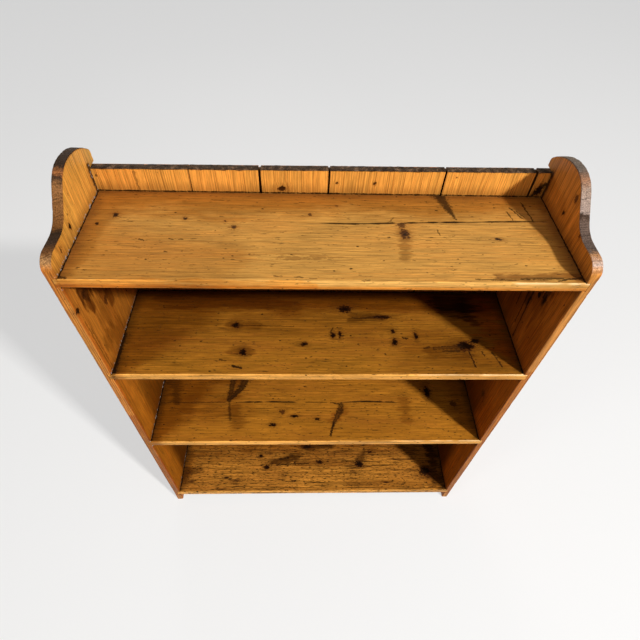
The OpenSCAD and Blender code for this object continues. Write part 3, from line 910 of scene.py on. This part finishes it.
LOOKS["upper_shelf"] = dict(
    BROWN_LOOK, seed=2, pith=(-170, -60),
    knots=[
        (-198, 139, 8, 9, 1.0), (-175, 61, 8, 10, 0.95), (-38, 84, 9, 6, 0.9), (62, 191, 17, 12, 0.9),
        (151, 166, 22, 6, 0.85), (30, 110, 5, 8, 1.0), (46, 113, 4, 11, 0.95), (173, 91, 7, 10, 1.0),
        (172, 123, 6, 6, 0.85), (225, 108, 4, 10, 1.0), (338, 80, 21, 13, 1.0), (362, 94, 11, 8, 0.9)],
    streaks=[
        ((-450, 6), (-450, 110), 15, 13, 0.9), ((325, 78), (262, 73), 13, 7, 0.85, 0.6),
        ((320, 66), (280, 65), 6, 4, 0.7), ((142, 166), (86, 161), 8, 4, 0.7, 0.4),
        ((342, 62), (348, 22), 5, 4, 0.9), ((194, 103), (205, 101), 5, 4, 0.9),
        ((-195, 24), (-176, 18), 8, 6, 0.95), ((-225, 40), (-212, 38), 6, 5, 0.7),
        ((372, 64), (375, 52), 5, 3, 0.8), ((405, 35), (408, 22), 6, 4, 0.85),
        ((252, 76), (240, 73), 6, 5, 0.7), ((395, 62), (403, 40), 5, 3, 0.8),
        ((-190, 139), (-60, 136), 4, 2, 0.6), ((30, 132), (24, 116), 5, 5, 0.7)],
    stains=[
        ((300, 226), (352, 200), 62, 70, 0.78, "#423026"),
        ((352, 200), (374, 150), 40, 26, 0.7, "#5A4436"),
        ((300, 182), (350, 176), 26, 30, 0.65, "#4A3628"), ((140, 170), (80, 160), 30, 24, 0.6, "#6A5440"),
        # The first stain on the next line is painted shade: it darkens and reddens the shadow that the
        # right side board casts on this shelf
        ((400, 180), (440, 60), 90, 60, 0.75, "#FFCBA8"), ((258, 62), (330, 68), 34, 50, 0.5, "#8A6C50"),
        ((-215, 140), (-150, 138), 24, 30, 0.5, "#8A6C50"),
        ((-195, 64), (-165, 62), 26, 26, 0.5, "#8A6C50"),
        ((-370, 215), (-60, 200), 56, 40, 0.6, "#A08468"), ((190, 28), (420, 24), 70, 70, 0.6, "#D4CCC0")],
    shades=[
        ((-451, 240), (451, 240), 150, 150, 1.0), ((-445, 10), (-330, 249), 50, 320, 0.8),
        ((230, 90), (390, 60), 110, 150, 0.5), ((-190, 150), (120, 150), 90, 110, 0.35)])
LOOKS["lower_shelf"] = dict(
    BROWN_LOOK, early="#B57420", late="#64390C", seed=3, pith=(430, -60),
    knots=[
        (-123, 50, 9, 5, 1.0), (-62, 78, 12, 4, 1.0), (1, 68, 6, 4, 0.95), (-98, 92, 10, 8, 0.5),
        (329, 157, 8, 19, 0.95), (400, 116, 11, 11, 0.55)],
    streaks=[
        ((-204, 222), (-222, 168), 26, 21, 1.0, 0.3), ((-222, 168), (-254, 128), 20, 12, 1.0, 0.2),
        ((-247, 222), (-252, 130), 20, 15, 0.95, 0.3), ((-252, 120), (-244, 66), 8, 8, 0.6),
        ((72, 116), (66, 92), 13, 20, 1.0, 0.4), ((66, 92), (48, 56), 20, 10, 1.0, 0.35),
        ((48, 56), (38, 18), 9, 7, 0.95), ((68, 116), (40, 121), 6, 3, 0.9),
        ((120, 228), (180, 226), 7, 4, 0.7), ((-451, 121), (-262, 123), 3, 4, 0.6),
        ((-30, 122), (30, 121), 4, 3, 0.5)],
    stains=[
        ((256, 128), (258, 66), 34, 40, 0.5, "#9C8060"),
        ((-238, 100), (-222, 50), 36, 44, 0.55, "#8C7050"),
        ((-225, 200), (-245, 150), 50, 40, 0.6, "#94704E"),
        ((-430, 225), (-400, 120), 50, 30, 0.6, "#5C4834"), ((75, 105), (45, 50), 34, 26, 0.5, "#A07850"),
        ((-345, 100), (-300, 92), 90, 80, 0.4, "#D0BCA4"),
        ((-20, 34), (240, 42), 60, 40, 0.32, "#C4BCA8")],
    shades=[
        ((-445, 10), (-350, 249), 50, 300, 0.95), ((-445, 60), (-445, 249), 60, 90, 1.0),
        ((440, 249), (445, 60), 120, 90, 0.55), ((-300, 110), (-200, 100), 110, 60, 0.4)])
LOOKS["bottom_shelf"] = dict(
    BROWN_LOOK, early="#CC8630", late="#4E2A0A", strands=0.55, dirt=(0.55, 0.85), seed=4, pith=(-150, -50),
    wander=40, ripple=8, contrast=0.95, dashes=(0.57, 0.9), pits=0.12,
    knots=[
        (-187, 126, 7, 6, 1.0), (-163, 86, 9, 8, 1.0), (22, 103, 11, 7, 0.95), (159, 94, 15, 12, 1.0),
        (-24, 159, 18, 6, 0.9), (202, 139, 9, 5, 0.8), (390, 68, 22, 16, 0.9), (-300, 50, 8, 3, 0.8),
        (-70, 36, 9, 3, 0.7), (250, 30, 9, 3, 0.7)],
    streaks=[
        ((-130, 94), (-20, 98), 6, 5, 0.85), ((100, 106), (240, 103), 4, 4, 0.7),
        ((-120, 114), (-90, 119), 5, 6, 0.9)],
    stains=[
        ((-140, 108), (-60, 116), 30, 34, 0.85, "#54402E"),
        ((160, 112), (178, 130), 34, 26, 0.7, "#5A4632"), ((415, 195), (425, 95), 40, 44, 0.9, "#4A3A2A"),
        ((-440, 60), (-395, 84), 40, 26, 0.6, "#5A4632"), ((-20, 160), (60, 162), 34, 26, 0.8, "#4A3828"),
        ((395, 72), (430, 40), 40, 50, 0.8, "#4A3828"), ((120, 24), (360, 20), 34, 34, 0.4, "#A88C6C"),
        ((-60, 100), (130, 100), 26, 26, 0.55, "#806448")],
    shades=[
        ((-451, 240), (451, 240), 230, 210, 1.0), ((445, 249), (440, 60), 180, 160, 0.6),
        ((-449, 240), (-445, 40), 110, 50, 0.8)])
SIDE_LOOK = dict(
    PINE, early="#E2A446", late="#A86224", patina="#BC7830", worn="#D27F34", corner="#5E3210", ring=4.6,
    wander=24, contrast=0.64, blotch=0.55, strands=0.3, bands=0.14, shade="#D8BC96", rubbed_least=0.35,
    dirt=(0.64, 0.6), dashes=(0.70, 0.7), pits=0.03, corner_dirt=0.5, rubbed=0.85, joint_top=1136,
    # The inside tint is painted shade on the inner faces within the bays: the height it starts below, how
    # far in it deepens, its tints high and low, and its deep colour
    inside=(TOP - SHELF_THICK, (48, 100), "#D6B89C", "#CCAA70", "#7E766A"), joints_along=SHELF_HEIGHTS,
    joints_across=(SHELF_DEPTH,), seam_face=(3.0, 1.5), seam_from=None, seam=3.0,
    nails=(NAIL_HEIGHTS, NAIL_DEPTHS, SIDE_THICK), outside=(SIDE_THICK, "#FFE6C4"))
LOOKS["left_side"] = dict(
    SIDE_LOOK, seed=5, pith=(-140, -50), dust=0.85, edge_lines=(5.5, 9.5, 14.5),
    knots=[
        (997, 45, 12, 9, 0.7), (918, 103, 14, 8, 0.45), (995, 8, 8, 6, 0.8), (1113, 103, 6, 3.5, 1.0),
        (1107, 48, 8, 5, 0.4), (620, 160, 13, 10, 0.5), (300, 80, 15, 11, 0.48), (170, 190, 9, 7, 0.5)],
    streaks=[
        ((1141, 246), (1084, 244), 12, 10, 0.9), ((960, 10), (790, 11), 5, 5, 0.5),
        ((930, 17), (790, 18), 5, 5, 0.45)],
    stains=[
        ((1062, 44), (1000, 70), 40, 34, 0.45, "#8A6840"), ((1062, 56), (980, 62), 36, 28, 0.7, "#7A5638"),
        # The greyish stains on this line, and the last one in this list, are painted shade on the inner
        # face inside the bays
        ((846, 58), (822, 110), 64, 60, 0.85, "#C4BEB0"), ((920, 74), (880, 84), 56, 60, 0.6, "#C4B8A8"),
        ((1062, 92), (930, 104), 44, 34, 0.7, "#8A6444"), ((1008, 44), (985, 50), 26, 20, 0.8, "#6A4A30"),
        ((978, 50), (950, 56), 34, 26, 0.8, "#70502F"), ((925, 122), (890, 130), 30, 24, 0.7, "#7A5638"),
        ((1062, 140), (960, 150), 44, 34, 0.6, "#9A7450"),
        ((200, 95), (170, 95), 50, 40, 0.25, "#B8B8B0")],
    shades=[
        ((1084, 0), (1110, 50), 110, 60, 0.4), ((600, -3), (40, -3), 14, 14, 0.9)],
    end_zones=[
        (0, "#B98052"), (10, "#9C7248"), (24, "#5C3A1E"), (46, "#33241A"), (72, "#281C12"),
        (86, "#66401E"), (135, "#825834"), (146, "#2E221B"), (153, "#8E5830"), (163, "#2C211A"),
        (275, "#3A2C22")])
LOOKS["right_side"] = dict(
    SIDE_LOOK, seed=6, pith=(430, -50), early="#D08230", late="#8A4814", worn="#C98844",
    # Painted shade inside the bays, with this side's own tints
    inside=(TOP - SHELF_THICK, (48, 100), "#F8E0C8", "#E6C080", "#7C7262"), edge_lines=(15.2,),
    knots=[
        (1158, 140, 8, 8, 0.5), (1116, 155, 5, 4, 0.8), (914, 115, 16, 5, 0.9), (961, 72, 14, 5, 0.9),
        (952, 94, 9, 5, 0.9), (1124, 80, 5, 4, 0.6), (560, 90, 13, 10, 0.5), (250, 170, 15, 11, 0.48)],
    streaks=[
        ((1062, 128), (800, 104), 6, 4, 0.9), ((1062, 142), (830, 122), 6, 4, 0.8),
        ((1062, 172), (860, 150), 6, 4, 0.75), ((1141, 246), (1084, 244), 14, 9, 0.9),
        ((1062, 84), (960, 80), 8, 6, 0.85)],
    stains=[
        ((1062, 76), (955, 72), 26, 18, 0.85, "#4A382C"),
        ((1062, 104), (970, 98), 26, 20, 0.85, "#4A382C"),
        ((1062, 138), (900, 120), 24, 16, 0.7, "#5A4436"),
        ((1062, 200), (900, 200), 60, 40, 0.4, "#A08068"),
        # The greyish stains from here to the end of this list are painted shade on the inner face inside
        # the bays
        ((950, 92), (840, 160), 90, 110, 0.85, "#C4BCB0"), ((880, 40), (820, 30), 70, 60, 0.45, "#C0B0A0"),
        ((560, 40), (520, 20), 70, 60, 0.4, "#CCBCA8"), ((210, 80), (190, 80), 50, 40, 0.4, "#B8CCB8")],
    shades=[
        ((800, -3), (40, -3), 14, 14, 0.9)],
    end_zones=[
        (0, "#C98C55"), (12, "#B0988A"), (30, "#A5764F"), (44, "#4E423B"), (100, "#5E4C42"),
        (107, "#2A1D17"), (112, "#927F74"), (140, "#8A7566"), (155, "#8A6248"), (178, "#5C5148"),
        (275, "#766656")])
PLANK_LOOK = dict(
    PINE, early="#F0A648", late="#964F12", patina="#C47A30", worn="#C88440", corner="#5E3210", ring=4.2,
    wander=16, contrast=0.72, blotch=0.4, strands=0.22,
    # The inside tint is painted shade on the planks' front faces below the top shelf
    inside=(TOP - SHELF_THICK, (-900, -800), "#C0A480", "#B89C78", "#B4AA9C"), dirt=(0.69, 0.4),
    dashes=(0.74, 0.6), pits=0.03, corner_dirt=0.45, rubbed=0.4, joints_along=SHELF_HEIGHTS,
    joints_across=(), seam_face=(3.0, 1.5), seam_from=None, seam=2.0, outside=(PLANK_THICK, "#FFE6C4"))
PLANK_KNOTS = {
    "back_plank_1": [(640, -330, 14, 11, 0.5), (250, -400, 11, 9, 0.46)],
    "back_plank_2": [(880, -200, 13, 9, 0.48), (330, -180, 10, 8, 0.5)],
    "back_plank_3": [(1094, -84, 6, 8, 0.95), (560, -40, 14, 11, 0.5)],
    "back_plank_4": [
        (1110, 102, 3, 3, 0.7), (1109, 26, 3, 3, 0.6), (940, 180, 13, 10, 0.46), (300, 90, 15, 11, 0.5)],
    "back_plank_5": [(700, 330, 13, 10, 0.5), (200, 380, 10, 8, 0.46)],
    "back_plank_6": [(1099, 440, 10, 7, 0.95), (500, 438, 8, 6, 0.48)],
}
PLANK_STREAKS = {
    "back_plank_1": [((1128, -371), (1085, -369), 7, 3, 0.5)],
    "back_plank_6": [((1112, 446), (1084, 430), 16, 10, 0.9)],
}


# The boards
ONE_NAIL_ROW = 90.0      # a plank that is no wider has one row of nails


def dress(piece, name):
    """Gives a finished piece its material, hangs it under the root and hides the frame's part that it
    replaces
    """
    piece.data.materials.append(antique_pine(BOARDS[name], LOOKS[name]))
    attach(piece, "root")
    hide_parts(name)


for index, name in enumerate(SHELVES):
    dress(make_shelf(name, 100 + 20 * index, 0.5 if name == "top_shelf" else 0.7), name)

dress(make_side("left_side", 300), "left_side")
dress(make_side("right_side", 340), "right_side")

for index, name in enumerate(PLANKS):
    low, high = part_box(name)
    has_tongue, has_groove = index > 0, index < len(PLANKS) - 1
    left, right = low.x / MM + (TONGUE if has_tongue else 0), high.x / MM
    middle = (left + right) / 2
    wide = right - left > ONE_NAIL_ROW
    nail_places = (left + NAIL_FROM_EDGE, right - NAIL_FROM_EDGE) if wide else (middle,)
    LOOKS[name] = dict(
        PLANK_LOOK, seed=11 + index, pith=(middle + (-1) ** index * 160, -45 - 7 * index),
        knots=PLANK_KNOTS[name], streaks=PLANK_STREAKS.get(name, []),
        nails=(NAIL_HEIGHTS, nail_places, PLANK_THICK), gaps=(left, right))
    dress(make_plank(name, 400 + 20 * index, left, right, has_tongue, has_groove), name)


# Cut nails
SIDE_NAIL, BACK_NAIL = 50 * MM, 40 * MM
NAIL_SIZES = (("Length", SIDE_NAIL), ("Head width", 0.006), ("Head height", 0.0016),
              ("Shank width", 0.0034), ("Tip width", 0.0018), ("Gauge", 0.0024))
RIM_SPREAD, RIM_ACROSS, RIM_THROUGH = 9.0, 0.9, 0.86      # how the head's rim is hammered
NAIL_ROLL = 0.22                                          # radians


def forged_iron():
    """Cut nails of soft iron, black from the rolling mill, with brown rust in the low places"""
    material, put = new_material("cut iron nail, rusted black")
    where = put("ShaderNodeTexCoord").outputs["Object"]
    blotch = put(NOISE, named={"Vector": where, "Scale": 700.0, "Detail": 4.0, "Roughness": 0.65})
    rust = put(SOFT, blotch, 0.45, 0.65)
    colour = put(MIX, rust, from_hex("#2A2624"), from_hex("#5A2E18"))
    metal = put(SPREAD, rust, 0.0, 1.0, 0.85, 0.1)
    rough = put(SPREAD, rust, 0.0, 1.0, 0.5, 0.9)
    bump = put("ShaderNodeBump", named={"Height": blotch, "Strength": 0.6, "Distance": 0.3 * MM})
    shader = put("ShaderNodeBsdfPrincipled", named={
        "Base Color": colour, "Metallic": metal, "Roughness": rough, "Normal": bump})
    put("ShaderNodeOutputMaterial", shader)
    return material


def nail_tree(iron):
    """Geometry nodes: a tapered shank under a hammered head, set at every point"""
    tree = bpy.data.node_groups.new("cut nails", "GeometryNodeTree")
    put = partial(add, tree)
    face = tree.interface
    face.new_socket("Geometry", in_out="INPUT", socket_type="NodeSocketGeometry")
    for name, value in NAIL_SIZES:
        face.new_socket(name, in_out="INPUT", socket_type="NodeSocketFloat").default_value = value
    face.new_socket("Geometry", in_out="OUTPUT", socket_type="NodeSocketGeometry")
    given = put("NodeGroupInput").outputs

    def block(length, width, steps):
        return put("GeometryNodeMeshCube", put(JOIN, length, width, given["Gauge"]), *steps)

    # Shank: from under the head to the tip, narrowing along its length
    long = put(MINUS, given["Length"], given["Head height"])
    shank = block(long, given["Shank width"], (4, 2, 2))
    part = put(SPLIT_UP, put("GeometryNodeInputPosition")).outputs
    share = put(PLUS, put(DIVIDE, part["X"], long), 0.5)
    taper = put(DIVIDE, given["Tip width"], given["Shank width"])
    narrow = put(SPREAD, share, 0.0, 1.0, 1.0, taper)
    start = put(TIMES_PLUS, long, 0.5, given["Head height"])
    moved = put(JOIN, put(PLUS, part["X"], start),
                put(TIMES, part["Y"], narrow), part["Z"])
    shank = put("GeometryNodeSetPosition", shank, named={"Position": moved})

    # Head: hammered, so its top is drawn in at the rim
    head = block(given["Head height"], given["Head width"], (2, 5, 3))
    on_top = put("FunctionNodeCompare", part["X"], 0.0, operation="LESS_THAN")
    rim = put(TIMES, part["Y"], RIM_SPREAD)
    drawn_in = put(JOIN, put(TIMES_PLUS, rim, part["Y"], part["X"]),
                   put(TIMES, part["Y"], RIM_ACROSS), put(TIMES, part["Z"], RIM_THROUGH))
    head = put("GeometryNodeSetPosition", head, named={"Selection": on_top, "Position": drawn_in})
    lift = put(JOIN, put(TIMES, given["Head height"], 0.5))
    head = put("GeometryNodeTransform", head, named={"Translation": lift})
    nail = put("GeometryNodeJoinGeometry")
    for half in (shank, head):
        tree.links.new(half.outputs[0], nail.inputs[0])

    # Each nail is turned a little in its hole
    turn = put("GeometryNodeInputNamedAttribute", "turn", data_type="FLOAT_VECTOR")
    roll = put("FunctionNodeRandomValue", (-NAIL_ROLL, 0.0, 0.0), (NAIL_ROLL, 0.0, 0.0), named={"Seed": 7},
               data_type="FLOAT_VECTOR")
    turned = put(MOVE, turn, roll)
    nails = put("GeometryNodeInstanceOnPoints", given["Geometry"],
                named={"Instance": nail, "Rotation": turned})
    real = put("GeometryNodeRealizeInstances", nails)
    put("NodeGroupOutput", put("GeometryNodeSetMaterial", real, named={"Material": iron}))
    return tree


NAILS = nail_tree(forged_iron())


def drive_nails(node, places, turns, length):
    """Sets nails at the places, each turned as given, and makes them one plain mesh"""
    points = bpy.data.meshes.new(node + "_places")
    points.from_pydata(places, [], [])
    turned = points.attributes.new("turn", "FLOAT_VECTOR", "POINT")
    turned.data.foreach_set("vector", np.array(turns, float).ravel())
    holder = show(node + "_places", points)
    nodes = holder.modifiers.new("nails", "NODES")
    nodes.node_group = NAILS
    for socket in NAILS.interface.items_tree:
        if socket.name == "Length" and socket.in_out == "INPUT":
            nodes[socket.identifier] = length
    made = bpy.data.meshes.new_from_object(holder.evaluated_get(bpy.context.evaluated_depsgraph_get()))
    bpy.data.objects.remove(holder)
    piece = show(node + "_cut", made)
    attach(piece, "root")
    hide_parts(node)


for name, height in zip(SHELVES, NAIL_HEIGHTS):
    places = [(x, FRONT_Y + depth * MM, height * MM)
              for depth in NAIL_DEPTHS for x in (LEFT_SIDE[0].x, RIGHT_SIDE[1].x)]
    drive_nails(name + "_nails", places, [(0, 0, 0), (0, 0, math.pi)] * len(NAIL_DEPTHS), SIDE_NAIL)

for index, name in enumerate(PLANKS):
    places = [(across * MM, PLANK_FRONT_Y + PLANK_THICK * MM, height * MM)
              for across in LOOKS[name]["nails"][1] for height in NAIL_HEIGHTS]
    turns = [(math.pi / 2, 0, -math.pi / 2)] * len(places)
    drive_nails(f"back_nails_{index + 1}", places, turns, BACK_NAIL)


# Camera, floor and lights
CAMERA_PLACE = (-0.0400, FRONT_Y - 0.5550, TOP * MM + 0.5771)
PITCH_DOWN, TURN_RIGHT, TILT = math.radians(50.725), math.radians(3.25), math.radians(2.816)
SENSOR_WIDTH, FOCAL_LENGTH = 36.0, 26.39
NEAREST_SEEN = 0.02
FLOOR_REACH = 14.0
FLOOR_GLOW = 0.55
WORLD_LIGHT = 0.11
LAMPS_AIM = Vector((0, 0, 0.7))


def make_camera():
    """The photograph's own viewpoint: close above the front edge, looking steeply down"""
    camera = show("camera", bpy.data.cameras.new("camera"))
    camera.data.sensor_width = SENSOR_WIDTH
    camera.data.lens = FOCAL_LENGTH
    camera.data.clip_start = NEAREST_SEEN
    camera.matrix_world = (
        Matrix.Translation(CAMERA_PLACE)
        @ Matrix.Rotation(-TURN_RIGHT, 4, "Z")
        @ Matrix.Rotation(math.pi / 2 - PITCH_DOWN, 4, "X")
        @ Matrix.Rotation(TILT, 4, "Z"))
    bpy.context.scene.camera = camera


def seen_rays(put):
    """1 where the camera looks, in reflections and through glass; 0 for the light itself"""
    rays = put("ShaderNodeLightPath").outputs
    seen = put(LARGER, rays["Is Camera Ray"], rays["Is Glossy Ray"])
    return put(LARGER, seen, rays["Is Transmission Ray"])


def make_floor():
    """A plain pale studio floor. It looks pale, but gives back as little light as a dark room"""
    mesh = bpy.data.meshes.new("studio_floor")
    corners = [(x * FLOOR_REACH, y * FLOOR_REACH, 0) for x, y in ((-1, -1), (1, -1), (1, 1), (-1, 1))]
    mesh.from_pydata(corners, [], [(0, 1, 2, 3)])
    floor = show("studio_floor", mesh)
    material, put = new_material("matt pale studio paper")
    seen = seen_rays(put)
    paper = put(MIX, seen, from_hex("#8C8A86"), from_hex("#9C9B99"))
    glow = put(TIMES, seen, FLOOR_GLOW)
    shader = put("ShaderNodeBsdfPrincipled", paper, named={
        "Roughness": 0.9, "Specular IOR Level": 0.1,
        "Emission Color": (1, 1, 1, 1), "Emission Strength": glow})
    put("ShaderNodeOutputMaterial", shader)
    mesh.materials.append(material)


def make_world():
    """Weak even light from all round; the camera and reflections see white"""
    world = bpy.data.worlds.new("studio")
    world.use_nodes = True
    world.node_tree.nodes.clear()
    put = partial(add, world.node_tree)
    strength = put(SPREAD, seen_rays(put), 0.0, 1.0, WORLD_LIGHT, 1.0)
    put("ShaderNodeOutputWorld", put("ShaderNodeBackground", (1, 1, 1, 1), strength))
    bpy.context.scene.world = world


def soft_lamp(name, toward, distance, size, power, spread=180):
    """A square soft lamp that looks at the middle of the bookcase; a small spread keeps it off the floor"""
    lamp = bpy.data.lights.new(name, "AREA")
    lamp.size, lamp.energy, lamp.spread = size, power, math.radians(spread)
    holder = show(name, lamp)
    away = Vector(toward).normalized()
    holder.location = LAMPS_AIM + away * distance
    holder.rotation_euler = away.to_track_quat("Z", "Y").to_euler()


make_camera()
make_floor()
make_world()
soft_lamp("key lamp, high at the front right", (0.83, -0.77, 1.0), 6.0, 0.4, 420)
soft_lamp("fill lamp, front left", (-0.91, -0.7, 1.0), 3.34, 0.7, 15)
soft_lamp("broad lamp overhead", (0.1, -0.3, 1.0), 4.0, 2.5, 20)
soft_lamp("low lamp behind, for the back planks", (-0.25, 1.0, 0.12), 5.0, 1.6, 4, 34)
bpy.context.scene.view_settings.view_transform = "Standard"
